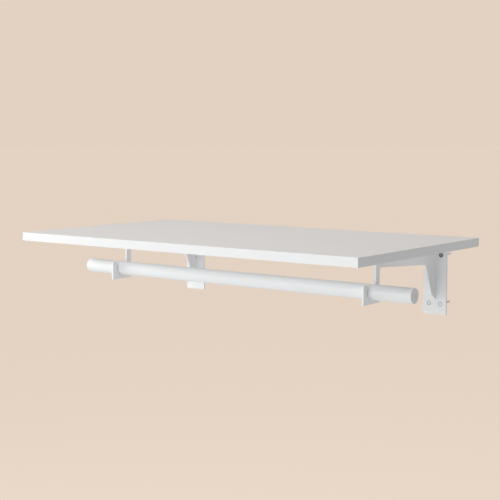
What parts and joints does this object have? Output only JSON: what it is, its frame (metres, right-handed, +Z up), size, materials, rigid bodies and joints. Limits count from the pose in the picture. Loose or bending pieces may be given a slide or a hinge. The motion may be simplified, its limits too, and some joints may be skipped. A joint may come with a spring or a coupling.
{
  "type": "wall shelf with clothes rail",
  "caption": "Flat white shelf board on welded T-section steel wall brackets, whose open front hooks carry a round clothes rail below the board.",
  "frame": {"origin": "on the wall, at the middle of the board's back edge: half way along its length and half way through its thickness", "axes": "+X along the wall to the right as seen from the front, +Y into the wall, +Z up; the front faces -Y"},
  "size_m": [0.9, 0.5462, 0.177],
  "materials": {
    "board_white": "white melamine facing on particle board, fine matte grain",
    "edge_band_white": "smooth matte plastic edge strip",
    "bracket_white": "white satin powder coat with a fine orange-peel texture",
    "rail_white": "smooth white satin powder coat",
    "cap_white": "moulded white plastic",
    "screw_dark": "black oxide",
    "screw_light": "bright nickel plate",
    "screw_zinc": "dull zinc plate"
  },
  "bodies": {
    "shelf": {"board_core": "board_white", "front_edge_band": "edge_band_white", "back_edge_band": "edge_band_white", "left_edge_band": "edge_band_white", "right_edge_band": "edge_band_white", "left_wall_plate": "bracket_white", "left_web": "bracket_white", "left_top_flange": "bracket_white", "left_rail_hook": "bracket_white", "left_upper_wall_screws": "screw_dark", "left_lower_wall_screws": "screw_light", "left_board_screws": "screw_zinc", "right_wall_plate": "bracket_white", "right_web": "bracket_white", "right_top_flange": "bracket_white", "right_rail_hook": "bracket_white", "right_upper_wall_screws": "screw_dark", "right_lower_wall_screws": "screw_light", "right_board_screws": "screw_zinc"},
    "rail": {"rail_tube": "rail_white", "rail_cap_left": "cap_white", "rail_cap_right": "cap_white"}
  },
  "joints": [
    {"name": "rail_lift", "type": "slide", "parent": "shelf", "child": "rail", "axis": [0, 0, 1], "range_m": [0, 0.06]}
  ]
}
